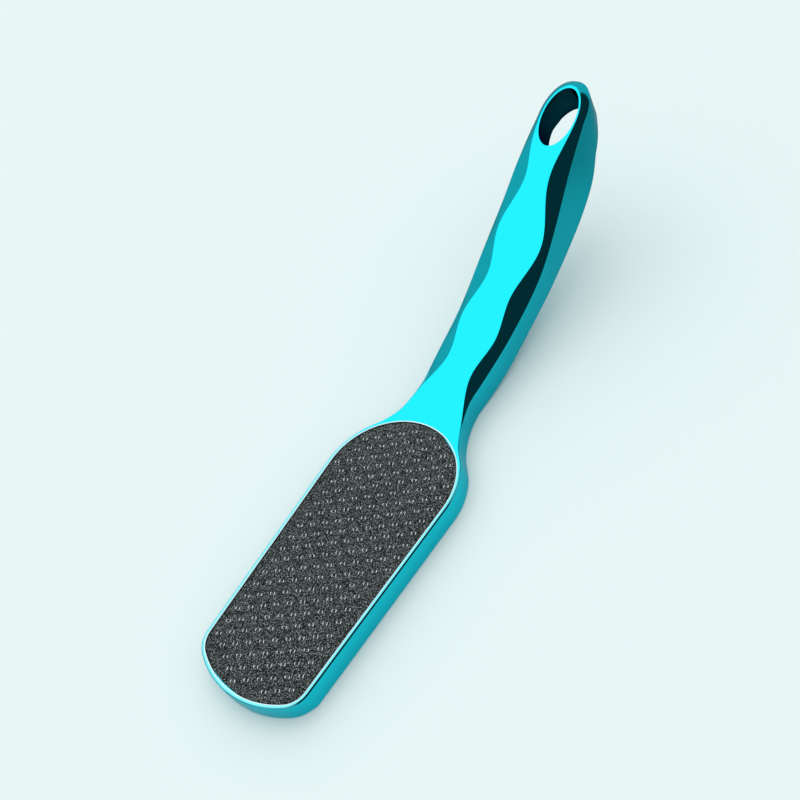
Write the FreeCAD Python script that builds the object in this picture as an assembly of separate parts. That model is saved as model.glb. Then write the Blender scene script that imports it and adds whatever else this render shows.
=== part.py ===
import FreeCAD, Part
import math
import os

# Foot file: a paddle with a toothed plate on each face and an S-curved, scalloped handle.
# The tool lies on its back. +X runs to the handle's tip, +Y to its left, +Z up out of the front face.
# The origin is the middle of the back plate's face, which is the face it rests on.

# Paddle and plates
PLATE_LENGTH = 114.4
PLATE_END_R = 26.2
PLATE_FAR_R = 36.0
PLATE_CORNER_R = 8.0
PLATE_TAPER = 2.6
PLATE_T = 0.8
PAD_T = 0.5
PAD_INSET = 2.0
PLATE_GAP = 0.4
PLATE_SINK = 0.4
LIP = 2.1
HEAD_T = 8.0
EDGE_CHAMFER = 0.5

# Teeth of the coarse plate: four-sided stubs on a staggered lattice
TOOTH_PITCH = 5.2
TOOTH_ROW = 4.235
TOOTH_BASE_R = 1.1
TOOTH_TOP_R = 0.7
TOOTH_H = 0.4
TOOTH_SIDES = 4
TOOTH_MARGIN = 1.0
TOOTH_START_X = -1.0
TOOTH_START_Y = -1.5

# Front line of the handle: run past the plate's end, rise above the lip
SPINE = [(-8.0, 0.0), (-2.8, 0.05), (13.2, 3.0), (38.2, 8.2), (63.2, 15.9), (91.2, 31.0), (109.2, 41.0)]
TIP_SLOPE = 24.0
TIP_RUN = 36.0

# Half widths of the flat front along each side: run, half width at each waist and bulge
FLAT_LEFT = [(16.2, 9.7), (27.7, 6.3), (48.0, 10.1), (64.9, 7.0), (82.2, 10.0), (99.2, 5.0), (109.2, 6.8)]
FLAT_RIGHT = [(12.7, 10.6), (23.7, 7.6), (40.0, 9.3), (58.2, 7.0), (77.2, 11.6), (97.2, 5.8), (109.2, 6.5)]
# Half width of the handle over its walls
OUTER = [(17.0, 11.9), (33.2, 13.1), (51.2, 13.9), (71.2, 14.1), (93.2, 12.9), (110.0, 11.6), (124.0, 10.9)]
NECK_FLARE = 0.0040
NECK_POWER = 2.4
# Depth of the walls below the front line, across the handle's line
WALL_DEPTH = [(-8.0, 7.5), (0.0, 7.8), (9.2, 9.4), (20.0, 11.4), (33.2, 12.6), (63.2, 13.6),
              (83.2, 16.6), (98.2, 19.4), (108.2, 18.6), (117.2, 15.4), (127.2, 11.6), (146.0, 8.5)]
BEVEL_DEPTH = 2.1
BEVEL_START = 5.0
BEVEL_RUN = 18.0
BACK_CHAMFER = 2.5
BACK_START = 18.0
BACK_RUN = 40.0
STATIONS = 20

# Tip and hang hole
HOLE_RUN = 122.2
HOLE_LENGTH = 24.6
HOLE_WIDTH = 14.8
HOLE_RIM = 0.8
TIP_WALL = 4.7
DRAW_TILT = 10.0
HOLE_FLARE = 20.0
HOLE_FLARE_DEPTH = 11.5

# Inside of the two half shells
WALL = 2.0
CAVITY_FROM = 18.0
CAVITY_TO = 90.0
CAVITY_STATIONS = 8
CAVITY_FLAT = 4.0
HANDLE_PINS = [38.0, 76.0]
HEAD_PINS = [-38.0, 22.0]
BOSS_R = 3.2
PIN_R = 1.6
PIN_H = 1.3
PIN_CLEAR = 0.1
REACH = 60.0
BISECTIONS = 40

PLATE_END = PLATE_LENGTH / 2
HEAD_MARGIN = PLATE_GAP + LIP
TIP_ANGLE = math.radians(TIP_SLOPE)
DRAW = FreeCAD.Vector(math.sin(math.radians(DRAW_TILT)), 0, -math.cos(math.radians(DRAW_TILT)))


def vec(x, y, z):
    return FreeCAD.Vector(x, y, z)


def along(points):
    """A smooth curve through (run, value) points, read by run."""
    curve = Part.BSplineCurve()
    curve.interpolate([vec(run, value, 0) for run, value in points])

    def read(run):
        low = curve.FirstParameter
        high = curve.LastParameter
        for step in range(BISECTIONS):
            middle = (low + high) / 2
            if curve.value(middle).x < run:
                low = middle
            else:
                high = middle
        return curve.value((low + high) / 2).y

    return read


def ease(value):
    value = min(1.0, max(0.0, value))
    return value * value * (3 - 2 * value)


outer_curve = along(OUTER)
wall_curve = along(WALL_DEPTH)


def outer(run):
    """Half width over the walls: flares into the paddle before the neck, constant past the last point."""
    neck = OUTER[0][0]
    if run < neck:
        return OUTER[0][1] + NECK_FLARE * (neck - run) ** NECK_POWER
    return outer_curve(min(run, OUTER[-1][0]))


def flat_side(points):
    """Half width of the flat front on one side: the whole width at the neck, the hole's rim at the tip."""
    neck = (BEVEL_START, outer(BEVEL_START) - EDGE_CHAMFER)
    rim = HOLE_WIDTH / 2 + HOLE_RIM
    curve = along([neck] + points + [(HOLE_RUN, rim)])

    def read(run):
        if run < BEVEL_START:
            return outer(run) - EDGE_CHAMFER
        return curve(min(run, HOLE_RUN))

    return read


flat_left = flat_side(FLAT_LEFT)
flat_right = flat_side(FLAT_RIGHT)


# The front line as one curve with a straight end
tip_run = SPINE[-1][0] + TIP_RUN
tip_rise = SPINE[-1][1] + TIP_RUN * math.tan(TIP_ANGLE)
half_run = SPINE[-1][0] + TIP_RUN / 2
half_rise = SPINE[-1][1] + TIP_RUN / 2 * math.tan(TIP_ANGLE)
spine_points = SPINE + [(half_run, half_rise), (tip_run, tip_rise)]
spine = Part.BSplineCurve()
spine.interpolate([vec(PLATE_END + run, 0, HEAD_T + rise) for run, rise in spine_points])


def section_frame(share):
    at = spine.FirstParameter + share * (spine.LastParameter - spine.FirstParameter)
    point = spine.value(at)
    slope = spine.tangent(at)[0]
    return point, vec(slope.z, 0, -slope.x), point.x - PLATE_END


def polygon(points):
    return Part.makePolygon(points + [points[0]])


def section(share, inset):
    """One cross section of the handle, square to its front line; inset by the wall for the cavity."""
    point, down, run = section_frame(share)
    half = outer(run) - inset
    left = CAVITY_FLAT if inset else flat_left(run)
    right = CAVITY_FLAT if inset else flat_right(run)
    bevel = EDGE_CHAMFER + (BEVEL_DEPTH - EDGE_CHAMFER) * ease((run - BEVEL_START) / BEVEL_RUN) + inset
    wall = wall_curve(min(run, WALL_DEPTH[-1][0]))
    chamfer = EDGE_CHAMFER + (BACK_CHAMFER - EDGE_CHAMFER) * ease((run - BACK_START) / BACK_RUN)
    corners = [(left, inset), (half, bevel), (half, wall - inset / 2), (half - chamfer, wall + chamfer - inset)]
    other = [(-right, inset), (-half, bevel), (-half, wall - inset / 2), (chamfer - half, wall + chamfer - inset)]
    return polygon([point + vec(0, side, 0) + down * depth for side, depth in corners + other[::-1]])


def share_at(run):
    low = 0.0
    high = 1.0
    for step in range(BISECTIONS):
        middle = (low + high) / 2
        if section_frame(middle)[2] < run:
            low = middle
        else:
            high = middle
    return low


# Plan outline of the plate: shallow far end, straight flaring sides, round handle end
taper = math.radians(PLATE_TAPER)
end_x = PLATE_END - PLATE_END_R
far_x = -PLATE_END
turn = vec(end_x - PLATE_END_R * math.sin(taper), PLATE_END_R * math.cos(taper), 0)
lean = vec(-math.cos(taper), -math.sin(taper), 0)
# Where the flaring side meets the far end's arc
to_turn = turn - vec(far_x + PLATE_FAR_R, 0, 0)
half_b = to_turn.dot(lean)
reach = -half_b + math.sqrt(half_b ** 2 - to_turn.dot(to_turn) + PLATE_FAR_R ** 2)
corner = turn + lean * reach


def mirrored(point):
    return vec(point.x, -point.y, point.z)


def prism(wire, bottom, height):
    face = Part.Face(wire)
    face.translate(vec(0, 0, bottom))
    return face.extrude(vec(0, 0, height))


sharp = Part.Wire([
    Part.Arc(mirrored(turn), vec(PLATE_END, 0, 0), turn).toShape(),
    Part.makeLine(turn, corner),
    Part.Arc(corner, vec(far_x, 0, 0), mirrored(corner)).toShape(),
    Part.makeLine(mirrored(corner), mirrored(turn)),
])
blank = prism(sharp, 0, PLATE_T)
upright = [e for e in blank.Edges if len(e.Vertexes) == 2 and e.BoundBox.ZLength > PLATE_T / 2]
corner_edges = [e for e in upright if e.BoundBox.XMax < 0]
fine_plate = blank.makeFillet(PLATE_CORNER_R, corner_edges)
bottom_faces = [f for f in fine_plate.Faces if f.BoundBox.ZMax < PLATE_T / 2]
plate_wire = bottom_faces[0].OuterWire
recess_wire = plate_wire.makeOffset2D(PLATE_GAP)
head_wire = plate_wire.makeOffset2D(HEAD_MARGIN)
pad_wire = plate_wire.makeOffset2D(-PAD_INSET)

# Paddle with chamfered edges
head = prism(head_wire, 0, HEAD_T)
rim_edges = [e for e in head.Edges if e.BoundBox.ZLength < EDGE_CHAMFER]
head = head.makeChamfer(EDGE_CHAMFER, rim_edges)

# Handle: a loft of cross sections along the front line, its tip rounded and bevelled round the hole
handle = Part.makeLoft([section(i / (STATIONS - 1), 0) for i in range(STATIONS)], True, False)
hole_share = share_at(HOLE_RUN)
hole_at, hole_down, hole_exact = section_frame(hole_share)
hole_along = vec(-hole_down.z, 0, hole_down.x)


def ellipse(half_length, half_width, depth):
    """An oval round the hole's middle, in a plane below the front face."""
    centre = hole_at + hole_down * depth
    major = centre + hole_along * half_length
    minor = centre + vec(0, half_width, 0)
    return Part.Wire(Part.Ellipse(major, minor, centre).toShape())


tip_half = outer(HOLE_RUN)
tip_length = HOLE_LENGTH / 2 + TIP_WALL
rim_half = HOLE_WIDTH / 2 + HOLE_RIM
rim_length = HOLE_LENGTH / 2 + HOLE_RIM


def drawn(wire, depth):
    face = Part.Face(wire)
    face.translate(DRAW * -depth)
    return face.extrude(DRAW * 2 * depth)


def tip_block():
    """Everything past the hole's middle, square to the front line."""
    centre = hole_at - hole_down * REACH
    corners = [centre + vec(0, REACH, 0), centre - vec(0, REACH, 0)]
    wire = polygon([corners[0], corners[1], corners[1] + hole_along * REACH, corners[0] + hole_along * REACH])
    return Part.Face(wire).extrude(hole_down * 2 * REACH)


cone_top = BEVEL_DEPTH
slope_long = (tip_length - rim_length) / BEVEL_DEPTH
slope_wide = (tip_half - rim_half) / BEVEL_DEPTH
bevel_cone = Part.makeLoft([
    ellipse(rim_length - slope_long * cone_top, rim_half - slope_wide * cone_top, -cone_top),
    ellipse(tip_length, tip_half, BEVEL_DEPTH),
], True, True)
keep_below = drawn(ellipse(tip_length, tip_half, BEVEL_DEPTH), REACH)
below_block = tip_block()
below_block.translate(hole_down * (REACH + BEVEL_DEPTH))
tip_kept = keep_below.common(below_block).fuse(bevel_cone)
handle = handle.cut(tip_block().cut(tip_kept))

body = head.fuse(handle).removeSplitter()
hole = drawn(ellipse(HOLE_LENGTH / 2, HOLE_WIDTH / 2, 0), REACH)
# The hole's back edge opens out to soft lips
spread = (REACH - HOLE_FLARE_DEPTH) * math.tan(math.radians(HOLE_FLARE))
lips = [ellipse(HOLE_LENGTH / 2, HOLE_WIDTH / 2, 0), ellipse(HOLE_LENGTH / 2 + spread, HOLE_WIDTH / 2 + spread, 0)]
lips[0].translate(DRAW * HOLE_FLARE_DEPTH)
lips[1].translate(DRAW * REACH)
hole = hole.fuse(Part.makeLoft(lips, True, True))

# Cavity of the handle, with a boss round each locating pin
first = share_at(CAVITY_FROM)
last = share_at(CAVITY_TO)
steps = [first + (last - first) * i / (CAVITY_STATIONS - 1) for i in range(CAVITY_STATIONS)]
cavity = Part.makeLoft([section(step, WALL) for step in steps], True, False)


def parting(run):
    """Height of the parting line: the middle of the side wall."""
    point, down, run_here = section_frame(share_at(run))
    wall = wall_curve(min(max(run, WALL_DEPTH[0][0]), WALL_DEPTH[-1][0]))
    middle = point + down * ((BEVEL_DEPTH + wall) / 2)
    return middle


pins = [parting(run) for run in HANDLE_PINS] + [vec(x, 0, HEAD_T / 2) for x in HEAD_PINS]
bosses = [Part.makeCylinder(BOSS_R, 2 * REACH, pin - vec(0, 0, REACH)) for pin in pins[:len(HANDLE_PINS)]]
for boss in bosses:
    cavity = cavity.cut(boss)
floor = Part.makeBox(4 * REACH, 2 * REACH, REACH, vec(0, -REACH, -REACH))
body = body.cut(floor).cut(hole).cut(cavity)

# Parting surface along the middle of the walls
line_runs = [SPINE[1][0] + i * (tip_run - SPINE[1][0]) / 8 for i in range(1, 9)]
line = Part.BSplineCurve()
start = vec(PLATE_END - PLATE_END_R, -REACH, HEAD_T / 2)
ends = [start, start + vec(PLATE_END_R / 2, 0, 0)] + [parting(run) - vec(0, REACH, 0) for run in line_runs]
line.interpolate(ends)
low_left = vec(-REACH - PLATE_END, -REACH, HEAD_T / 2)
top_left = low_left + vec(0, 0, 2 * REACH)
top_right = vec(ends[-1].x, -REACH, top_left.z)
upper_wire = Part.Wire([
    Part.makeLine(low_left, start),
    line.toShape(),
    Part.makeLine(ends[-1], top_right),
    Part.makeLine(top_right, top_left),
    Part.makeLine(top_left, low_left),
])
upper = Part.Face(upper_wire).extrude(vec(0, 2 * REACH, 0))
front_shell = body.common(upper)
back_shell = body.cut(upper)

# Recesses for the plates
recess = PLATE_SINK + PLATE_T + PAD_T
front_shell = front_shell.cut(prism(recess_wire, HEAD_T - recess, HEAD_T))
back_shell = back_shell.cut(prism(recess_wire, -HEAD_T, HEAD_T + PLATE_T + PAD_T))

# Locating pins on the back half, sockets in the front half
for pin in pins:
    back_shell = back_shell.fuse(Part.makeCylinder(PIN_R, 2 * PIN_H, pin - vec(0, 0, PIN_H)))
    socket = Part.makeCylinder(PIN_R + PIN_CLEAR, 2 * PIN_H + PIN_CLEAR, pin - vec(0, 0, PIN_H))
    front_shell = front_shell.cut(socket)

# Plates and their pads
fine_pad = prism(pad_wire, PLATE_T, PAD_T)
coarse_pad = prism(pad_wire, HEAD_T - recess, PAD_T)
coarse_plate = fine_plate.copy()
plate_base = HEAD_T - PLATE_SINK - PLATE_T
coarse_plate.translate(vec(0, 0, plate_base))
tooth_foot = HEAD_T - PLATE_SINK


def ring(radius, height):
    return [vec(radius * math.cos(math.radians(360 * k / TOOTH_SIDES)),
                radius * math.sin(math.radians(360 * k / TOOTH_SIDES)), height) for k in range(TOOTH_SIDES)]


tooth = Part.makeLoft([polygon(ring(TOOTH_BASE_R, -PLATE_T / 2)), polygon(ring(TOOTH_BASE_R, 0)),
                       polygon(ring(TOOTH_TOP_R, TOOTH_H))], True, True)
inside = Part.Face(plate_wire.makeOffset2D(-TOOTH_MARGIN - TOOTH_BASE_R))
rows = int(PLATE_END_R / TOOTH_ROW) + 2
columns = int(PLATE_END / TOOTH_PITCH) + 2
teeth = []
for row in range(-rows, rows + 1):
    for column in range(-columns, columns + 1):
        place = vec(TOOTH_START_X + TOOTH_PITCH * (column + (row % 2) / 2), TOOTH_START_Y + TOOTH_ROW * row, 0)
        if inside.isInside(place, EDGE_CHAMFER / 100, True):
            stub = tooth.copy()
            stub.translate(place + vec(0, 0, tooth_foot))
            teeth.append(stub)
coarse_plate = coarse_plate.multiFuse(teeth)

nodes = {
    "front_shell": front_shell,
    "back_shell": back_shell,
    "coarse_file_plate": coarse_plate,
    "fine_file_plate": fine_plate,
    "coarse_adhesive_pad": coarse_pad,
    "fine_adhesive_pad": fine_pad,
}
os.makedirs("parts", exist_ok=True)
for name, shape in nodes.items():
    solid = shape if shape.ShapeType == "Solid" else shape.Solids[0]
    print(name, len(shape.Solids), solid.isValid(), round(solid.Volume), solid.BoundBox)
    solid.exportStep("parts/" + name + ".step")
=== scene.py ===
import math

import bmesh
import bpy
import numpy as np
from bpy.props import FloatProperty, FloatVectorProperty, PointerProperty
from mathutils import Matrix, Vector


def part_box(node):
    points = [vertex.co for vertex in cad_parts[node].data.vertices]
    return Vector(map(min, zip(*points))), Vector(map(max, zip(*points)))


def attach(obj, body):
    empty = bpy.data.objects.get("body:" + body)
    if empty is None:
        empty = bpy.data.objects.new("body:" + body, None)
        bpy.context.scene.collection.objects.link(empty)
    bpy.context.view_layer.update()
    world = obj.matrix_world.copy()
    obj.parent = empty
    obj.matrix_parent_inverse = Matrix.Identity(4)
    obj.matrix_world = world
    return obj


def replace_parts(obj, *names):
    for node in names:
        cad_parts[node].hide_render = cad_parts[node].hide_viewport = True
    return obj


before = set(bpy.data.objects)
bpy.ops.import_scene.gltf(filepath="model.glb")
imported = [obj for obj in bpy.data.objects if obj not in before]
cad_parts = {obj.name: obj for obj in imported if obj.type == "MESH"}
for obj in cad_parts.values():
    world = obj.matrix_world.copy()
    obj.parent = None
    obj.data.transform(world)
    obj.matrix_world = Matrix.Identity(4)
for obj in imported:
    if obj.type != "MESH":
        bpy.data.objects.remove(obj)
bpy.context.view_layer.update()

bl_info = {
    "name": "Foot file",
    "version": (1, 0, 0),
    "blender": (4, 5, 0),
    "location": "3D View > Sidebar > Foot file",
    "description": "Dresses the foot file: mirror-coated body, toothed plates, studio",
    "category": "Object",
}

MM = 0.001

# Plate, in millimetres: shallow far end, flaring sides, round handle end; its edge as (inset, drop)
PLATE_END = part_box("fine_file_plate")[1].x / MM
END_R = 26.2
FAR_R = 36.0
FAR_SHIFT = 0.7
CORNER_R = 8.0
TAPER = math.radians(2.6)
END_X = PLATE_END - END_R
FAR_X = FAR_R - PLATE_END - FAR_SHIFT
PLATE_GAP = 0.4
PLATE_GROW = 0.15
PLATE_T = 0.8
PLATE_SINK = 0.4
PLATE_EDGE = [(0.0, -0.15), (0.05, -0.05), (0.15, 0.0), (0.5, 0.0)]

# Paddle round the plate; its wall leans out by how much a side faces the far end
HEAD_T = 8.0
LIP = 1.65
FAR_LIP = -0.1
RIM = 0.4
RIM_DROP = 0.15
CHAMFER = 0.48
FRONT_LEDGE = 0.3
BACK_LEDGE = 0.5
HEAD_LEAN = [(0.0, 0.85), (0.3, 0.3), (0.6, 0.05), (0.85, 0.05), (1.0, 0.2)]
FRONT_RECESS = 1.7
BACK_RECESS = 1.3

# Teeth of the coarse plate; a ridge's profile as (across, height)
TOOTH_START = (-1.0, -1.5)
TOOTH_MARGIN = 2.1
TOOTH_TURN = math.radians(115)
TOOTH_SPREAD = math.radians(44)
TOOTH_ROOT = 0.05
TOOTH_PROFILE = [(-0.16, -TOOTH_ROOT), (-0.1, 0.17), (0.0, 0.2), (0.1, 0.17), (0.16, -TOOTH_ROOT),
                 (-0.16, -TOOTH_ROOT)]
TOOTH_END_DROP = 0.9
TOOTH_ROWS = 7
TOOTH_COLUMNS = 12

# Where the paddle's edge gives way to the handle: angle on its round end, places along X
NECK_ANGLE = math.radians(56)
NECK_X = 46.5
HANDLE_X = 47.0

# Handle, measured as (run past the plate's end, size there)
RISE_START = 1.0
SPINE = [(RISE_START, 0.0), (13.2, 2.9), (38.2, 8.2), (63.2, 15.9), (91.2, 31.0), (106.0, 39.58)]
TIP_SLOPE = math.tan(math.radians(24))
FLAT_LEFT = [(16.2, 9.7), (27.7, 6.3), (48.0, 10.1), (64.9, 7.0), (82.2, 10.0), (99.2, 5.0), (109.2, 6.8)]
FLAT_RIGHT = [(12.7, 10.6), (23.7, 7.6), (40.0, 9.3), (58.2, 7.0), (77.2, 11.6), (97.2, 5.8), (109.2, 6.5)]
OUTER = [(17.0, 11.9), (33.2, 13.1), (51.2, 13.9), (71.2, 14.6), (93.2, 12.9), (110.0, 11.7), (124.0, 10.6)]
NECK_FLARE = 0.0146
NECK_POWER = 2.0
NECK_BLEND = 1.6
BEVEL_DEPTH = 2.1
BEVEL_BOW = 0.14
BEVEL_ROUND = 5.0
BEVEL_START = 5.0
BEVEL_RUN = 18.0
BACK_CHAMFER = 2.5
BACK_START = 18.0
BACK_RUN = 40.0
WALL_FOOT = [(7.0, 0.45), (15.0, 0.55), (24.0, 1.2), (38.0, 3.6), (58.0, 9.2), (78.0, 15.6), (95.0, 22.2),
             (108.8, 29.9)]
WALL_LEAN = [(-11.0, 0.85), (8.0, 0.3), (18.0, 0.0), (40.0, 0.0), (74.0, 0.2), (92.0, 1.75), (106.0, 3.4),
             (115.0, 3.65), (122.8, 2.2), (130.0, 1.0), (134.5, 0.9), (139.5, 1.7)]
SWAY_START = 95.0
SWAY_RUN = 25.0

# Tip and hang hole, by run too
TIP_SWAY = 0.8
TIP_CHAMFER = 0.8
TIP_START = 88.0
TIP_RUN = 18.0
TIP_BACK_SLOPE = 0.6
TIP_WALL = 4.2
TIP_RIM = 1.1
TIP_FULL = 0.9
TIP_MARGIN = 0.2
HOLE_RUN = 122.8
HOLE_HALF = (12.3, 7.4)
HOLE_RIM = 0.8
HOLE_LEAN = math.radians(18)
HOLE_DEPTH = 11.5
HOLE_FLARE = (math.radians(10), math.radians(28))
HOLE_FLARE_LEAST = 0.4
HOLE_EDGE = 0.2
HOLE_BACK_LEDGE = 0.3
HOLE_BACK_ROUNDS = (0.25, 0.4)

# Steps along curves
ARC_STEPS = 14
SIDE_STEPS = 16
ROUND_STEPS = 40
HANDLE_ROWS = 110
TIP_STEPS = 24
HOLE_SIDES = 64
TOOTH_STEPS = 8
SHARP_ANGLE = math.radians(42)

# Painted highlight: where the coat is painted pale along the lip's top, from full colour to pale, in metres
LIP_HIGHLIGHT_HEIGHT = (0.0076, 0.0079)
LIP_HIGHLIGHT_REACH = (0.054, 0.036)

# Grit of the plates: size and height in metres, then where the masks start and end
COARSE_GRAIN = 0.00046
FINE_GRAIN = 0.0005
GRAIN_HEIGHT = 0.0001
GRAIN_STRENGTH = 0.5
GRAIN_EDGE = (0.5, 0.1)
GRAIN_SHARE = (0.0, 1.0)
PIT_EDGE = (0.3, 0.6)
PIT_SHARE = (0.1, 0.6)

# Studio: places and sizes in metres, colours, and where a fade starts and ends
FLOOR_HALF = 3.0
# In reflections the floor is grey and darkens along X towards the handle's tip: painted shade of the floor
# under the raised handle.
FLOOR_SHADE_FADE = (0.0, 0.3)
FLOOR_MIRRORED = ((0.6, 0.61, 0.61, 1.0), (0.235, 0.24, 0.24, 1.0))
LAMP_TARGET = (0.06, 0.0, 0.02)
SOFTBOX_PLACE = (0.06, 0.51, 0.762)
SOFTBOX_SIZE = (1.6, 0.6)
SOFTBOX_LIGHT = 0.68
SUN_PLACE = (0.3, 0.35, 0.42)
SUN_LIGHT = 0.7
SUN_COLOUR = (1.0, 0.88, 0.84)
SUN_ANGLE = math.radians(70)
SKY_LIGHT = (0.835, 0.865, 0.88, 1.0)
SKY_SEEN = (0.8, 0.928, 0.928, 1.0)
WALLS_FADE = (0.0, 0.35)
WALLS = ((0.33, 0.34, 0.34, 1.0), (0.4, 0.42, 0.42, 1.0))
FLAG_COLOUR = (0.026, 0.026, 0.028, 1.0)
FLAG_TOWARDS = (-0.05, -0.45, 0.89)
FLAG_EDGE = (0.7, 0.8)
SENSOR = 36.0
CLIP_START = 0.01


class FootFileBody(bpy.types.PropertyGroup):
    """Sizes and finish of the moulded body."""

    colour: FloatVectorProperty(
        name="Coat colour", description="Colour of the metallised coat", subtype="COLOR",
        size=4, min=0.0, max=1.0, default=(0.016, 0.82, 0.99, 1.0))
    roughness: FloatProperty(
        name="Coat roughness", description="Blur of the coat's reflections", subtype="FACTOR",
        min=0.0, max=1.0, default=0.06)
    # Painted highlight: the paler lip colour stands in for light caught on top of the paddle's lip.
    lip: FloatVectorProperty(
        name="Lip colour", description="Paler coat along the paddle's lip", subtype="COLOR",
        size=4, min=0.0, max=1.0, default=(0.22, 0.88, 0.97, 1.0))
    # Painted shade: the hole's darker coat stands in for the shade inside the hang hole.
    hole: FloatVectorProperty(
        name="Hole colour", description="Thinner, darker coat inside the hang hole", subtype="COLOR",
        size=4, min=0.0, max=1.0, default=(0.004, 0.07, 0.1, 1.0))
    # Painted highlight: the pale rim colour stands in for light caught on the recess's rounded rim.
    rim: FloatVectorProperty(
        name="Rim colour", description="Pale worn rim of the plate's recess", subtype="COLOR",
        size=4, min=0.0, max=1.0, default=(0.7, 0.96, 1.0, 1.0))
    edge: FloatProperty(
        name="Edge rounding", description="Rounding of the body's edges, in millimetres",
        min=0.05, max=0.3, default=0.16)


class FootFilePlates(bpy.types.PropertyGroup):
    """Sizes and finish of the file plates."""

    coarse_colour: FloatVectorProperty(
        name="Coarse plate", description="Colour of the coarse plate's steel", subtype="COLOR",
        size=4, min=0.0, max=1.0, default=(0.05, 0.064, 0.064, 1.0))
    fine_colour: FloatVectorProperty(
        name="Fine plate", description="Colour of the fine plate's steel", subtype="COLOR",
        size=4, min=0.0, max=1.0, default=(0.08, 0.085, 0.085, 1.0))
    grit_colour: FloatVectorProperty(
        name="Grit", description="Colour of the bright grit", subtype="COLOR",
        size=4, min=0.0, max=1.0, default=(0.52, 0.56, 0.56, 1.0))
    pit_colour: FloatVectorProperty(
        name="Pits", description="Colour of the dark pits between the grit", subtype="COLOR",
        size=4, min=0.0, max=1.0, default=(0.002, 0.003, 0.003, 1.0))
    tooth_colour: FloatVectorProperty(
        name="Teeth", description="Colour of the teeth's bare steel", subtype="COLOR",
        size=4, min=0.0, max=1.0, default=(0.95, 0.96, 0.96, 1.0))
    pitch: FloatProperty(
        name="Tooth pitch", description="Distance between teeth along a row, in millimetres", default=5.2)
    row: FloatProperty(
        name="Row pitch", description="Distance between rows of teeth, in millimetres", default=4.235)
    ring: FloatProperty(
        name="Tooth radius", description="Radius of a tooth's ridge, in millimetres", default=0.8)


class FootFileStudio(bpy.types.PropertyGroup):
    """Floor, lamps and camera."""

    floor_colour: FloatVectorProperty(
        name="Floor", description="Colour of the pale floor", subtype="COLOR",
        size=4, min=0.0, max=1.0, default=(0.82, 0.93, 0.92, 1.0))
    azimuth: FloatProperty(
        name="Camera azimuth", description="Direction the camera stands in, from -Y towards -X",
        subtype="ANGLE", default=math.radians(33.134))
    elevation: FloatProperty(
        name="Camera elevation", description="Camera's angle above the floor", subtype="ANGLE",
        default=math.radians(45.918))
    roll: FloatProperty(
        name="Camera roll", description="Turn of the camera about its own line of sight", subtype="ANGLE",
        default=math.radians(-27.988))
    place: FloatVectorProperty(
        name="Camera place", description="Where the camera stands", subtype="TRANSLATION", unit="LENGTH",
        size=3, default=(-0.07174, -0.19071, 0.26443))
    lens: FloatProperty(
        name="Lens", description="Focal length on a 36 mm sensor, in millimetres", default=41.394)


# Curves

class Spline:
    """A cubic through (x, value) points; its ends are straight, or have the slopes given."""

    def __init__(self, points, first=None, last=None):
        self.x = np.array([p[0] for p in points], float)
        self.y = np.array([p[1] for p in points], float)
        count = len(points)
        step = np.diff(self.x)
        rise = np.diff(self.y) / step
        left = np.zeros((count, count))
        right = np.zeros(count)
        left[0, 0] = left[-1, -1] = 1.0
        for i in range(1, count - 1):
            left[i, i - 1:i + 2] = step[i - 1], 2 * (step[i - 1] + step[i]), step[i]
            right[i] = 6 * (rise[i] - rise[i - 1])
        if first is not None:
            left[0, :2] = 2 * step[0], step[0]
            right[0] = 6 * (rise[0] - first)
        if last is not None:
            left[-1, -2:] = step[-1], 2 * step[-1]
            right[-1] = 6 * (last - rise[-1])
        self.bend = np.linalg.solve(left, right)

    def span(self, x):
        i = int(np.clip(np.searchsorted(self.x, x) - 1, 0, len(self.x) - 2))
        h = self.x[i + 1] - self.x[i]
        return i, h, (self.x[i + 1] - x) / h, (x - self.x[i]) / h

    def __call__(self, x):
        i, h, a, b = self.span(x)
        curve = (a ** 3 - a) * self.bend[i] + (b ** 3 - b) * self.bend[i + 1]
        return float(a * self.y[i] + b * self.y[i + 1] + curve * h * h / 6)

    def slope(self, x):
        i, h, a, b = self.span(x)
        curve = (3 * b * b - 1) * self.bend[i + 1] - (3 * a * a - 1) * self.bend[i]
        return float((self.y[i + 1] - self.y[i]) / h + curve * h / 6)


def ease(value):
    """Smooth step from 0 to 1."""
    value = min(1.0, max(0.0, value))
    return value * value * (3 - 2 * value)


spine_curve = Spline(SPINE, 0.0, TIP_SLOPE)
outer_curve = Spline(OUTER)
foot_curve = Spline(WALL_FOOT, 0.0, TIP_BACK_SLOPE)
lean_curve = Spline(WALL_LEAN, 0.0, 0.0)
head_curve = Spline(HEAD_LEAN, 0.0, 0.0)


def front_line(run):
    """Height and slope of the front face."""
    if run <= RISE_START:
        return HEAD_T, 0.0
    last, rise = SPINE[-1]
    if run >= last:
        return HEAD_T + rise + (run - last) * TIP_SLOPE, TIP_SLOPE
    return HEAD_T + spine_curve(run), spine_curve.slope(run)


def wall_foot(run):
    """Height of the wall's lower edge."""
    first, low = WALL_FOOT[0]
    last, high = WALL_FOOT[-1]
    if run <= first:
        return low
    if run >= last:
        return high + (run - last) * TIP_BACK_SLOPE
    return foot_curve(run)


def outer(run):
    """Half width over the walls, blended into the round end of the paddle."""
    neck, width = OUTER[0]
    if run >= neck:
        return outer_curve(min(run, OUTER[-1][0]))
    handle = width + NECK_FLARE * (neck - run) ** NECK_POWER
    head = (END_R + PLATE_GAP + LIP) ** 2 - (run + END_R) ** 2
    if head <= 0:
        return handle
    head = math.sqrt(head)
    near = max(NECK_BLEND - abs(head - handle), 0.0) / NECK_BLEND
    return max(head, handle) + near * near * NECK_BLEND / 4


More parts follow.
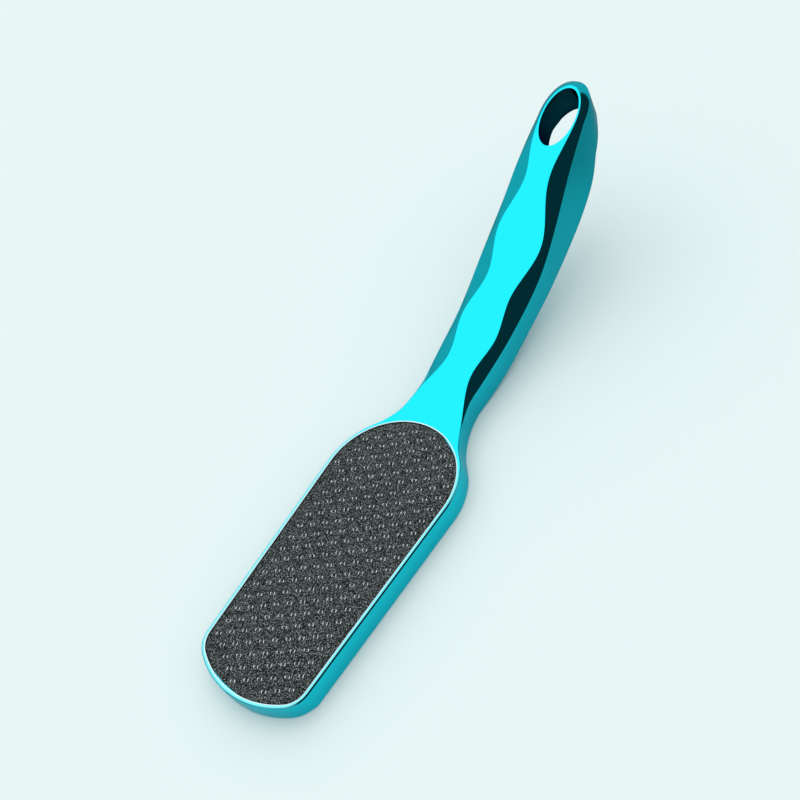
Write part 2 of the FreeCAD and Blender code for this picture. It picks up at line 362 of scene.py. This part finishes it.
def flat_side(points):
    """Half width of the flat front along one side of the handle."""
    neck = (BEVEL_START, outer(BEVEL_START) - CHAMFER)
    curve = Spline([neck] + points + [(HOLE_RUN, HOLE_HALF[1] + HOLE_RIM)], None, 0.0)

    def read(run):
        if run < BEVEL_START:
            return outer(run) - CHAMFER
        return curve(min(run, HOLE_RUN))

    return read


flat_of = {1: flat_side(FLAT_LEFT), -1: flat_side(FLAT_RIGHT)}


def sway(run):
    """Sideways drift of the handle's middle towards its tip."""
    return TIP_SWAY * ease((run - SWAY_START) / SWAY_RUN)


def plate_plan(offset, whole, far_lip=0.0):
    """(point, outward normal) down the left of the plate's outline, grown by offset."""
    normal = Vector((-math.sin(TAPER), math.cos(TAPER)))
    along = Vector((-math.cos(TAPER), -math.sin(TAPER)))
    far = Vector((FAR_X - far_lip, 0.0))
    end = Vector((END_X, 0.0))
    line = normal.dot(end) + END_R
    start = normal * (line - CORNER_R) - far
    part = along.dot(start)
    reach = part * part - start.dot(start) + (FAR_R - CORNER_R) ** 2
    corner = far + start + along * (-part + math.sqrt(reach))
    to_corner = corner - far
    meet = math.atan2(to_corner.y, to_corner.x)
    side = math.pi / 2 + TAPER
    stop = 0.0 if whole else NECK_ANGLE
    rows = []

    def arc(centre, radius, first, last, steps):
        for i in range(steps + 1):
            angle = first + (last - first) * i / steps
            out = Vector((math.cos(angle), math.sin(angle)))
            rows.append((centre + out * (radius + offset), out))

    arc(far, FAR_R, math.pi, meet, ARC_STEPS)
    rows.pop()
    arc(corner, CORNER_R, meet, side, ARC_STEPS)
    begin = corner + normal * CORNER_R
    finish = end + normal * END_R
    for i in range(1, SIDE_STEPS):
        rows.append((begin.lerp(finish, i / SIDE_STEPS) + normal * offset, normal.copy()))
    arc(end, END_R, side, stop, ROUND_STEPS if whole else ARC_STEPS)
    return rows


# Profiles round the body's edge

def soften(points, rounds, steps=4):
    """Rounds the inner corners of a line of points; rounds holds a radius for each of them."""
    line = [points[0]]
    for before, corner, after, radius in zip(points, points[1:], points[2:], rounds):
        if not radius:
            line.append(corner)
            continue
        first = corner + (before - corner).normalized() * min(radius, (before - corner).length * 0.45)
        last = corner + (after - corner).normalized() * min(radius, (after - corner).length * 0.45)
        for i in range(steps + 1):
            t = i / steps
            line.append(first * (1 - t) ** 2 + corner * (2 * t * (1 - t)) + last * t * t)
    line.append(points[-1])
    return line


def edge_points(side):
    """Corner points of the body's edge down one side.

    Each row runs from the front to the back: inside, flat, bow, bevel, seam, foot, back, inside.
    """
    rows = []
    for point, out in plate_plan(PLATE_GAP + LIP, False, FAR_LIP):
        if point.x > NECK_X:
            break
        place = Vector((point.x, side * point.y, 0))
        out = Vector((out.x, side * out.y, 0))
        up = Vector((0, 0, 1))
        foot = place + out * head_curve(max(-out.x, 0.0))
        rows.append([
            place - out * (CHAMFER + FRONT_LEDGE) + up * HEAD_T,
            place - out * CHAMFER + up * HEAD_T,
            place - out * (CHAMFER / 2) + up * (HEAD_T - CHAMFER / 2),
            place + up * (HEAD_T - CHAMFER),
            (place + foot + up * HEAD_T) / 2,
            foot + up * CHAMFER,
            foot - out * CHAMFER,
            foot - out * (CHAMFER + BACK_LEDGE),
        ])
    for run in np.linspace(HANDLE_X - PLATE_END, HOLE_RUN, HANDLE_ROWS):
        height, slope = front_line(run)
        down = Vector((slope, 0, -1)).normalized()
        spot = Vector((PLATE_END + run, sway(run), height))
        across = Vector((0, side, 0))
        rows.append(edge_row(spot, spot, across, across, flat_of[side](run), outer(run), down, run))
    height, slope = front_line(HOLE_RUN)
    middle = Vector((PLATE_END + HOLE_RUN, sway(HOLE_RUN), height))
    forward = Vector((1, 0, slope)).normalized()
    down = Vector((forward.z, 0, -forward.x))
    rim = (HOLE_HALF[0] + TIP_RIM, HOLE_HALF[1] + HOLE_RIM)
    tip = (HOLE_HALF[0] + TIP_WALL, outer(HOLE_RUN))
    for i in range(1, TIP_STEPS + 1):
        angle = math.pi / 2 * (1 - i / TIP_STEPS)
        c, s = abs(math.cos(angle)), math.sin(angle) * side
        flat = middle + forward * (rim[0] * c) + Vector((0, rim[1] * s, 0))
        aside = math.copysign(tip[1] * abs(s) ** TIP_FULL, s)
        wall = middle + forward * (tip[0] * c ** TIP_FULL) + Vector((0, aside, 0))
        out = (forward * (c / tip[0]) + Vector((0, s / tip[1], 0))).normalized()
        level = Vector((out.x, out.y, 0)).normalized()
        rows.append(edge_row(flat, wall, out, level, 0.0, 0.0, down, HOLE_RUN + tip[0] * c))
    return rows


def edge_row(flat_from, wall_from, out, level, flat, wall, down, run):
    """Corner points of one profile of the handle or the tip."""
    depth = CHAMFER + (BEVEL_DEPTH - CHAMFER) * ease((run - BEVEL_START) / BEVEL_RUN)
    back = CHAMFER + (BACK_CHAMFER - CHAMFER) * ease((run - BACK_START) / BACK_RUN)
    back += (TIP_CHAMFER - BACK_CHAMFER) * ease((run - TIP_START) / TIP_RUN)
    top = flat_from + out * flat
    edge = wall_from + out * wall + down * depth
    foot = edge + level * lean_curve(min(max(run, WALL_LEAN[0][0]), WALL_LEAN[-1][0]))
    foot.z = wall_foot(foot.x - PLATE_END)
    low = foot - level * back
    low.z = wall_foot(low.x - PLATE_END) - back
    inner = low - level * BACK_LEDGE
    inner.z = wall_foot(inner.x - PLATE_END) - back
    bow = (top + edge) / 2 + (out - down) * (BEVEL_BOW * ease((run - BEVEL_START) / BEVEL_RUN))
    return [top - out * FRONT_LEDGE, top, bow, edge, (edge + foot) / 2, foot, low, inner]


class Builder:
    """Collects vertices and faces of one piece, in millimetres."""

    def __init__(self):
        self.mesh = bmesh.new()
        self.finish_no = 0

    def line(self, points):
        return [self.mesh.verts.new(Vector(p) * MM) for p in points]

    def face(self, *corners):
        keep = []
        for v in corners:
            if v not in keep and all((v.co - k.co).length > 1e-9 for k in keep):
                keep.append(v)
        if len(keep) > 2:
            self.mesh.faces.new(keep).material_index = self.finish_no

    def strip(self, one, two):
        """Quads between two lines of vertices."""
        for a, b, c, d in zip(one, one[1:], two[1:], two):
            self.face(a, b, c, d)

    def fill(self, *loops):
        """Flat fill between closed loops of vertices."""
        edges = []
        for loop in loops:
            for a, b in zip(loop, loop[1:] + loop[:1]):
                if a is not b:
                    edges.append(self.mesh.edges.get((a, b)) or self.mesh.edges.new((a, b)))
        bmesh.ops.triangle_fill(self.mesh, use_beauty=True, use_dissolve=False, edges=edges)

    def finish(self, name, materials, slot):
        bmesh.ops.remove_doubles(self.mesh, verts=self.mesh.verts, dist=1e-7)
        bmesh.ops.dissolve_degenerate(self.mesh, dist=1e-8, edges=self.mesh.edges)
        bmesh.ops.recalc_face_normals(self.mesh, faces=self.mesh.faces)
        data = bpy.data.meshes.new(name)
        self.mesh.to_mesh(data)
        self.mesh.free()
        data.shade_smooth()
        data.set_sharp_from_angle(angle=SHARP_ANGLE)
        for material in materials:
            data.materials.append(material)
        piece = bpy.data.objects.new(name, data)
        bpy.context.scene.collection.objects.link(piece)
        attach(piece, "root")
        return piece


# Materials

def new_material(name):
    """A material with a bare Principled shader, and its links."""
    material = bpy.data.materials.new(name)
    material.use_nodes = True
    nodes = material.node_tree.nodes
    return material, nodes, material.node_tree.links, nodes["Principled BSDF"]


def limit(nodes, links, value, first, last):
    """Eases a value from 0 at first to 1 at last."""
    node = nodes.new("ShaderNodeMapRange")
    node.interpolation_type = "SMOOTHSTEP"
    node.inputs["From Min"].default_value = first
    node.inputs["From Max"].default_value = last
    links.new(value, node.inputs["Value"])
    return node.outputs["Result"]


def product(nodes, links, one, two):
    """Product of two value sockets."""
    node = nodes.new("ShaderNodeMath")
    node.operation = "MULTIPLY"
    links.new(one, node.inputs[0])
    links.new(two, node.inputs[1])
    return node.outputs["Value"]


def blend(nodes, links, factor, one, two):
    """Mix of two colours by a factor socket."""
    node = nodes.new("ShaderNodeMix")
    node.data_type = "RGBA"
    links.new(factor, node.inputs["Factor"])
    for socket, colour in ((node.inputs["A"], one), (node.inputs["B"], two)):
        if isinstance(colour, bpy.types.NodeSocket):
            links.new(colour, socket)
        else:
            socket.default_value = colour
    return node.outputs["Result"]


def mirror_coat():
    """Metallised coat, with a painted highlight: paler along the top of the paddle's lip."""
    body = bpy.context.scene.foot_file_body
    material, nodes, links, shader = new_material("mirror_coat")
    place = nodes.new("ShaderNodeTexCoord")
    split = nodes.new("ShaderNodeSeparateXYZ")
    links.new(place.outputs["Object"], split.inputs["Vector"])
    # Painted highlight: the top face over the paddle is blended to the paler lip colour.
    high = limit(nodes, links, split.outputs["Z"], *LIP_HIGHLIGHT_HEIGHT)
    paddle = limit(nodes, links, split.outputs["X"], *LIP_HIGHLIGHT_REACH)
    painted_highlight = product(nodes, links, high, paddle)
    links.new(blend(nodes, links, painted_highlight, body.colour, body.lip), shader.inputs["Base Color"])
    shader.inputs["Specular Tint"].default_value = (0.7, 0.97, 1.0, 1.0)
    shader.inputs["Metallic"].default_value = 1.0
    shader.inputs["Roughness"].default_value = body.roughness
    return material


def hole_painted_shade():
    """Painted shade: a darker coat inside the hang hole, standing in for the shade in the hole."""
    body = bpy.context.scene.foot_file_body
    material, nodes, links, shader = new_material("hole_painted_shade")
    shader.inputs["Base Color"].default_value = body.hole
    shader.inputs["Specular Tint"].default_value = (0.05, 0.3, 0.35, 1.0)
    shader.inputs["Metallic"].default_value = 1.0
    shader.inputs["Roughness"].default_value = 0.25
    return material


def rim_painted_highlight():
    """Painted highlight: a pale coat on the rim of a recess, standing in for light caught by its rounded
    edge.
    """
    body = bpy.context.scene.foot_file_body
    material, nodes, links, shader = new_material("rim_painted_highlight")
    shader.inputs["Base Color"].default_value = body.rim
    shader.inputs["Metallic"].default_value = 0.3
    shader.inputs["Roughness"].default_value = 0.4
    return material


def grit_group():
    """Node group: bright grains and dark pits scattered over steel, as masks and a height."""
    group = bpy.data.node_groups.new("grit", "ShaderNodeTree")
    group.interface.new_socket("Grain", in_out="INPUT", socket_type="NodeSocketFloat")
    group.interface.new_socket("Mask", in_out="OUTPUT", socket_type="NodeSocketFloat")
    group.interface.new_socket("Pit", in_out="OUTPUT", socket_type="NodeSocketFloat")
    group.interface.new_socket("Height", in_out="OUTPUT", socket_type="NodeSocketFloat")
    nodes, links = group.nodes, group.links
    given = nodes.new("NodeGroupInput")
    result = nodes.new("NodeGroupOutput")
    place = nodes.new("ShaderNodeTexCoord")
    cells = nodes.new("ShaderNodeTexVoronoi")
    links.new(place.outputs["Object"], cells.inputs["Vector"])
    links.new(given.outputs["Grain"], cells.inputs["Scale"])
    grain = limit(nodes, links, cells.outputs["Distance"], *GRAIN_EDGE)
    gap = limit(nodes, links, cells.outputs["Distance"], *PIT_EDGE)
    split = nodes.new("ShaderNodeSeparateColor")
    links.new(cells.outputs["Color"], split.inputs["Color"])
    some = limit(nodes, links, split.outputs["Red"], *GRAIN_SHARE)
    links.new(product(nodes, links, grain, some), result.inputs["Mask"])
    deep = limit(nodes, links, split.outputs["Green"], *PIT_SHARE)
    links.new(product(nodes, links, gap, deep), result.inputs["Pit"])
    links.new(grain, result.inputs["Height"])
    return group


def plate_steel(name, colour, grain, grit):
    """Dark steel with bright grit."""
    plates = bpy.context.scene.foot_file_plates
    material, nodes, links, shader = new_material(name)
    grains = nodes.new("ShaderNodeGroup")
    grains.node_tree = grit
    grains.inputs["Grain"].default_value = 1.0 / grain
    steel = blend(nodes, links, grains.outputs["Pit"], colour, plates.pit_colour)
    gritty = blend(nodes, links, grains.outputs["Mask"], steel, plates.grit_colour)
    links.new(gritty, shader.inputs["Base Color"])
    bump = nodes.new("ShaderNodeBump")
    bump.inputs["Strength"].default_value = GRAIN_STRENGTH
    bump.inputs["Distance"].default_value = GRAIN_HEIGHT
    links.new(grains.outputs["Height"], bump.inputs["Height"])
    links.new(bump.outputs["Normal"], shader.inputs["Normal"])
    shader.inputs["Roughness"].default_value = 0.55
    shader.inputs["Specular IOR Level"].default_value = 0.05
    return material


def tooth_steel(colour):
    """Bare steel of the raised teeth."""
    material, nodes, links, shader = new_material("tooth_steel")
    shader.inputs["Base Color"].default_value = colour
    shader.inputs["Metallic"].default_value = 0.6
    shader.inputs["Roughness"].default_value = 0.3
    return material


def dress(node, material):
    """Gives a node of the frame its material."""
    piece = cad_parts[node]
    piece.data.materials.clear()
    piece.data.materials.append(material)
    return piece


class FOOTFILE_OT_body(bpy.types.Operator):
    """Build the two half shells with smooth faces and give them the mirror coat"""

    bl_idname = "footfile.body"
    bl_label = "Body"

    def execute(self, context):
        edge = context.scene.foot_file_body.edge
        # Second and third finishes: painted shade for the hole, painted highlight for the rim.
        coats = (mirror_coat(), hole_painted_shade(), rim_painted_highlight())
        sides = {side: edge_points(side) for side in (1, -1)}
        neck_x = PLATE_END + RISE_START
        tip_x = PLATE_END + WALL_FOOT[-1][0] + TIP_MARGIN
        self.neck = next(i for i, row in enumerate(sides[1]) if row[1].x > neck_x)
        self.tip = next(i for i, row in enumerate(sides[1]) if row[3].x > tip_x)
        front, back = slice(0, 5), slice(7, 3, -1)
        self.half("front_shell", sides, front, (edge, BEVEL_ROUND, edge), coats, HEAD_T, -FRONT_RECESS)
        self.half("back_shell", sides, back, (edge * 2, edge * 2), coats, 0.0, BACK_RECESS)
        return {"FINISHED"}

    def half(self, name, sides, part, rounds, coats, face, recess):
        """One half shell from its part of the edge rows."""
        made = Builder()
        lines = {}
        for side, rows in sides.items():
            lines[side] = [made.line(soften(row[part], rounds)) for row in rows]
            for one, two in zip(lines[side], lines[side][1:]):
                made.strip(one, two)
        front = {side: [line[0] for line in lines[side]] for side in lines}
        seam = {side: [line[-1] for line in lines[side]] for side in lines}
        well = self.well(made, face, recess)
        mouth, inner = self.hole(made, name)
        self.cover(made, front, well, mouth)
        self.cover(made, seam, None, inner)
        piece = made.finish(name + "_skin", coats, "body")
        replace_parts(piece, name)

    def cover(self, made, sides, well, hole):
        """Closes a face of the shell: flat over the paddle and round the hole, a strip between."""
        left, right = sides[1], sides[-1]
        ring = left[1:self.neck + 1] + right[1:self.neck + 1][::-1] + [left[0]]
        made.fill(*([ring, well] if well else [ring]))
        made.strip(left[self.neck:self.tip + 1], right[self.neck:self.tip + 1])
        ring = left[self.tip:] + right[self.tip:-1][::-1]
        made.fill(ring, hole)

    def well(self, made, face, recess):
        """Recess for a plate; returns the loop where it meets the face."""
        plan = [(p.x, p.y) for p, out in plate_plan(PLATE_GAP, True)]
        wide = [(p.x, p.y) for p, out in plate_plan(PLATE_GAP + RIM, True)]
        loops = []
        brink = face + math.copysign(RIM_DROP, recess)
        for points, height in ((wide, face), (plan, brink), (plan, face + recess)):
            both = points + [(x, -y) for x, y in points[-2:0:-1]]
            loops.append(made.line([(x, y, height) for x, y in both]))
        # The rim strip gets the rim's painted highlight; the recess wall keeps the plain coat.
        for one, two, coat in zip(loops, loops[1:], (2, 0)):
            made.finish_no = coat
            made.strip(one + one[:1], two + two[:1])
        made.mesh.faces.new(loops[-1])
        return loops[0]

    def hole(self, made, name):
        """Wall of the hang hole in this half; returns its loops on the outer face and on the seam."""
        height, slope = front_line(HOLE_RUN)
        middle = Vector((PLATE_END + HOLE_RUN, sway(HOLE_RUN), height))
        forward = Vector((1, 0, slope)).normalized()
        lean = Vector((math.sin(HOLE_LEAN), 0, -math.cos(HOLE_LEAN)))
        back = Vector((-TIP_BACK_SLOPE, 0, 1))
        back_spot = Vector((PLATE_END + HOLE_RUN, 0, wall_foot(HOLE_RUN) - TIP_CHAMFER))
        down = Vector((forward.z, 0, -forward.x))
        front_foot = middle + down * BEVEL_DEPTH
        foot_spot = Vector((PLATE_END + HOLE_RUN, 0, wall_foot(HOLE_RUN)))
        front_rise = front_foot.z + (foot_spot.x - front_foot.x) * slope
        seam_spot = Vector((foot_spot.x, 0, (front_rise + foot_spot.z) / 2))
        seam = Vector((-(slope + TIP_BACK_SLOPE) / 2, 0, 1))
        rows = []
        for i in range(HOLE_SIDES):
            angle = 2 * math.pi * i / HOLE_SIDES
            c, s = math.cos(angle), math.sin(angle)
            out = (forward * (c / HOLE_HALF[0]) + Vector((0, s / HOLE_HALF[1], 0))).normalized()
            rim = middle + forward * (HOLE_HALF[0] * c) + Vector((0, HOLE_HALF[1] * s, 0))
            cut = rim + lean * ((seam_spot - rim).dot(seam) / lean.dot(seam))
            if name == "front_shell":
                rows.append(soften([rim + out * HOLE_EDGE, rim, cut], (HOLE_EDGE,)))
                continue
            deep = rim + lean * HOLE_DEPTH
            flare = HOLE_FLARE[0] + HOLE_FLARE[1] * s * s
            spread = lean * math.cos(flare) + out * math.sin(flare)
            low = deep + spread * max((back_spot - deep).dot(back) / spread.dot(back), HOLE_FLARE_LEAST)
            away = out - back * (out.dot(back) / back.dot(back))
            ledge = low + away.normalized() * HOLE_BACK_LEDGE
            rows.append(soften([ledge, low, deep, cut], HOLE_BACK_ROUNDS))
        lines = [made.line(row) for row in rows]
        for one, two in zip(lines, lines[1:] + lines[:1]):
            made.strip(one[:4], two[:4])
            # The deeper part of the hole's wall gets the hole's painted shade.
            made.finish_no = 1
            made.strip(one[3:], two[3:])
            made.finish_no = 0
        return [line[0] for line in lines], [line[-1] for line in lines]


class FOOTFILE_OT_plates(bpy.types.Operator):
    """Build the toothed plate and give the plates and pads their finishes"""

    bl_idname = "footfile.plates"
    bl_label = "Plates"

    def execute(self, context):
        plates = context.scene.foot_file_plates
        grit = grit_group()
        made = Builder()
        self.sheet(made)
        made.finish_no = 1
        self.teeth(made, plates)
        coarse = plate_steel("coarse_steel", plates.coarse_colour, COARSE_GRAIN, grit)
        steels = (coarse, tooth_steel(plates.tooth_colour))
        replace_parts(made.finish("toothed_plate", steels, "coarse_plate"), "coarse_file_plate")
        dress("fine_file_plate", plate_steel("fine_steel", plates.fine_colour, FINE_GRAIN, grit))
        pad, nodes, links, shader = new_material("adhesive_pad")
        shader.inputs["Base Color"].default_value = (0.1, 0.1, 0.11, 1.0)
        shader.inputs["Roughness"].default_value = 0.8
        for node in ("coarse_adhesive_pad", "fine_adhesive_pad"):
            dress(node, pad)
        return {"FINISHED"}

    def sheet(self, made):
        """The plate itself, with a small rounding at its upper edge."""
        top = HEAD_T - PLATE_SINK
        loops = []
        for inset, drop in [(0.0, -PLATE_T)] + PLATE_EDGE:
            left = [(p.x, p.y) for p, out in plate_plan(PLATE_GROW - inset, True)]
            both = left + [(x, -y) for x, y in left[-2:0:-1]]
            loops.append(made.line([(x, y, top + drop) for x, y in both]))
        for one, two in zip(loops, loops[1:]):
            made.strip(one + one[:1], two + two[:1])
        made.mesh.faces.new(loops[0])
        made.mesh.faces.new(loops[-1])

    def teeth(self, made, plates):
        """Ring-shaped teeth on a staggered lattice."""
        top = HEAD_T - PLATE_SINK
        left = [p for p, out in plate_plan(-TOOTH_MARGIN, True)]
        reach = np.array([(p.x, p.y) for p in left])
        for row in range(-TOOTH_ROWS, TOOTH_ROWS + 1):
            for column in range(-TOOTH_COLUMNS, TOOTH_COLUMNS + 1):
                x = TOOTH_START[0] + plates.pitch * (column + (row % 2) / 2)
                y = TOOTH_START[1] + plates.row * row
                if not reach[0, 0] < x < reach[-1, 0]:
                    continue
                if abs(y) > np.interp(x, reach[:, 0], reach[:, 1]):
                    continue
                for turn in (TOOTH_TURN, TOOTH_TURN + math.pi):
                    self.crescent(made, (x, y, top), plates.ring, turn)

    def crescent(self, made, place, ring, turn):
        """One curved ridge of a tooth, sinking into the plate at both ends."""
        x, y, z = place
        lines = []
        for i in range(TOOTH_STEPS + 1):
            share = 2 * i / TOOTH_STEPS - 1
            angle = turn + share * TOOTH_SPREAD
            c, s = math.cos(angle), math.sin(angle)
            tall = 1 - TOOTH_END_DROP * share ** 4
            points = []
            for across, height in TOOTH_PROFILE:
                radius = ring + across
                level = z + (height + TOOTH_ROOT) * tall - TOOTH_ROOT
                points.append((x + radius * c, y + radius * s, level))
            lines.append(made.line(points))
        for one, two in zip(lines, lines[1:]):
            made.strip(one, two)
        for end in (lines[0], lines[-1]):
            made.face(*end[:-1])


# Studio

def lamp(name, kind, place, target, energy):
    """A lamp at a place, turned towards its target."""
    data = bpy.data.lights.new(name, kind)
    data.energy = energy
    thing = bpy.data.objects.new(name, data)
    bpy.context.scene.collection.objects.link(thing)
    thing.location = place
    thing.rotation_mode = "QUATERNION"
    thing.rotation_quaternion = (Vector(target) - Vector(place)).to_track_quat("-Z", "Y")
    return thing


class FOOTFILE_OT_studio(bpy.types.Operator):
    """Set the floor, the lamps, the sky and the camera"""

    bl_idname = "footfile.studio"
    bl_label = "Studio"

    def execute(self, context):
        scene = context.scene
        studio = scene.foot_file_studio
        scene.view_settings.view_transform = "Standard"
        self.floor(scene, studio)
        self.lamps()
        self.sky(scene)
        self.camera(scene, studio)
        return {"FINISHED"}

    def floor(self, scene, studio):
        """A pale floor, greyer in reflections than in the camera's own view, and in reflections darkened
        along X towards the handle as painted shade.
        """
        mesh = bpy.data.meshes.new("floor")
        half = FLOOR_HALF
        corners = [(-half, -half, 0), (half, -half, 0), (half, half, 0), (-half, half, 0)]
        mesh.from_pydata(corners, [], [(0, 1, 2, 3)])
        floor = bpy.data.objects.new("floor", mesh)
        scene.collection.objects.link(floor)
        material, nodes, links, shader = new_material("pale_floor")
        shader.inputs["Roughness"].default_value = 1.0
        shader.inputs["Specular IOR Level"].default_value = 0.0
        place = nodes.new("ShaderNodeTexCoord")
        split = nodes.new("ShaderNodeSeparateXYZ")
        links.new(place.outputs["Object"], split.inputs["Vector"])
        # Painted shade: in reflections the floor darkens along X towards the handle.
        along = limit(nodes, links, split.outputs["X"], *FLOOR_SHADE_FADE)
        mirrored_with_shade = blend(nodes, links, along, *FLOOR_MIRRORED)
        path = nodes.new("ShaderNodeLightPath")
        seen = blend(nodes, links, path.outputs["Is Camera Ray"], mirrored_with_shade, studio.floor_colour)
        links.new(seen, shader.inputs["Base Color"])
        mesh.materials.append(material)

    def lamps(self):
        """A softbox for the reflections and broad daylight for the shadow."""
        length, width = SOFTBOX_SIZE
        box = lamp("softbox", "AREA", SOFTBOX_PLACE, LAMP_TARGET, SOFTBOX_LIGHT * math.pi * length * width)
        box.data.shape = "RECTANGLE"
        box.data.size = length
        box.data.size_y = width
        box.visible_diffuse = False
        sun = lamp("daylight", "SUN", SUN_PLACE, (0, 0, 0), SUN_LIGHT)
        sun.data.color = SUN_COLOUR
        sun.data.angle = SUN_ANGLE
        sun.visible_glossy = False

    def sky(self, scene):
        """Even light from all round; reflections see grey walls and one dark flag overhead."""
        world = bpy.data.worlds.new("studio_sky")
        scene.world = world
        world.use_nodes = True
        nodes = world.node_tree.nodes
        links = world.node_tree.links
        place = nodes.new("ShaderNodeTexCoord")
        near = nodes.new("ShaderNodeVectorMath")
        near.operation = "DOT_PRODUCT"
        near.inputs[1].default_value = Vector(FLAG_TOWARDS).normalized()
        links.new(place.outputs["Generated"], near.inputs[0])
        flag = limit(nodes, links, near.outputs["Value"], *FLAG_EDGE)
        split = nodes.new("ShaderNodeSeparateXYZ")
        links.new(place.outputs["Generated"], split.inputs["Vector"])
        high = limit(nodes, links, split.outputs["Z"], *WALLS_FADE)
        walls = blend(nodes, links, high, *WALLS)
        walls = blend(nodes, links, flag, walls, FLAG_COLOUR)
        path = nodes.new("ShaderNodeLightPath")
        lit = blend(nodes, links, path.outputs["Is Glossy Ray"], SKY_LIGHT, walls)
        seen = blend(nodes, links, path.outputs["Is Camera Ray"], lit, SKY_SEEN)
        links.new(seen, nodes["Background"].inputs["Color"])

    def camera(self, scene, studio):
        """The camera of the photograph, from its place, direction and roll."""
        data = bpy.data.cameras.new("camera")
        data.lens = studio.lens
        data.sensor_width = SENSOR
        data.clip_start = CLIP_START
        camera = bpy.data.objects.new("camera", data)
        scene.collection.objects.link(camera)
        azimuth, elevation = studio.azimuth, studio.elevation
        level_back = Vector((-math.sin(azimuth), -math.cos(azimuth), 0))
        back = level_back * math.cos(elevation) + Vector((0, 0, math.sin(elevation)))
        level = Vector((math.cos(azimuth), -math.sin(azimuth), 0))
        upright = back.cross(level)
        right = level * math.cos(studio.roll) + upright * math.sin(studio.roll)
        up = upright * math.cos(studio.roll) - level * math.sin(studio.roll)
        turn = Matrix((right, up, back)).transposed()
        camera.matrix_world = Matrix.Translation(Vector(studio.place)) @ turn.to_4x4()
        scene.camera = camera


class FOOTFILE_PT_panel(bpy.types.Panel):
    """Steps that dress the foot file"""

    bl_idname = "FOOTFILE_PT_panel"
    bl_label = "Foot file"
    bl_space_type = "VIEW_3D"
    bl_region_type = "UI"
    bl_category = "Foot file"

    def draw(self, context):
        for step in STEPS:
            self.layout.operator(step.bl_idname)


STEPS = (FOOTFILE_OT_body, FOOTFILE_OT_plates, FOOTFILE_OT_studio)
CLASSES = (FootFileBody, FootFilePlates, FootFileStudio) + STEPS + (FOOTFILE_PT_panel,)


def register():
    for item in CLASSES:
        bpy.utils.register_class(item)
    bpy.types.Scene.foot_file_body = PointerProperty(type=FootFileBody)
    bpy.types.Scene.foot_file_plates = PointerProperty(type=FootFilePlates)
    bpy.types.Scene.foot_file_studio = PointerProperty(type=FootFileStudio)


def unregister():
    del bpy.types.Scene.foot_file_studio
    del bpy.types.Scene.foot_file_plates
    del bpy.types.Scene.foot_file_body
    for item in reversed(CLASSES):
        bpy.utils.unregister_class(item)


def main():
    register()
    bpy.ops.footfile.body()
    bpy.ops.footfile.plates()
    bpy.ops.footfile.studio()


if __name__ == "__main__":
    main()
